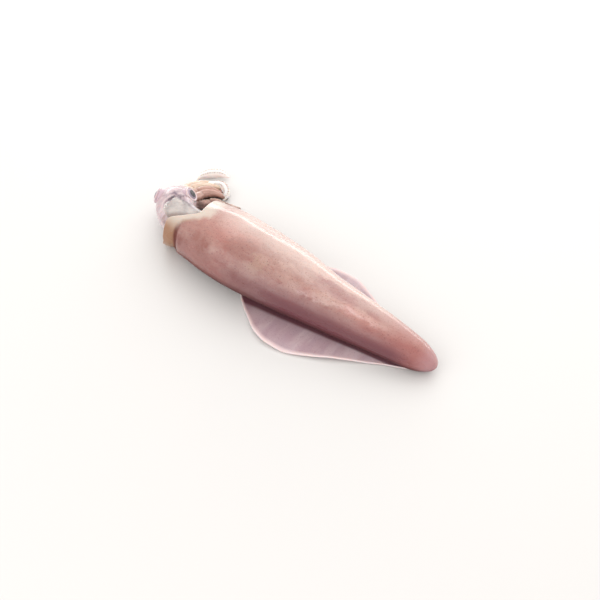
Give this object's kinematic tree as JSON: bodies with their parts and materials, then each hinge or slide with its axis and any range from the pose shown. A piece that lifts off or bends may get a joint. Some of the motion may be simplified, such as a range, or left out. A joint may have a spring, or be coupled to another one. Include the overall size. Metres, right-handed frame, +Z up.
{
  "type": "whole raw squid",
  "caption": "Whole raw squid lying on its back, with a tapering mantle, side fins, and the head, funnel and arms folded round beside the mantle's mouth.",
  "frame": {"origin": "on the flat strip that the mantle rests on, under the middle of the body, on the surface below it", "axes": "+X along the mantle towards its tail point, +Y to the side that the arms fold to, +Z up"},
  "size_m": [0.3091, 0.1429, 0.0516],
  "materials": {
    "squid_skin": "wet, mottled pink to red-brown skin over pale flesh"
  },
  "bodies": {
    "root": {"squid": "squid_skin"}
  },
  "joints": []
}
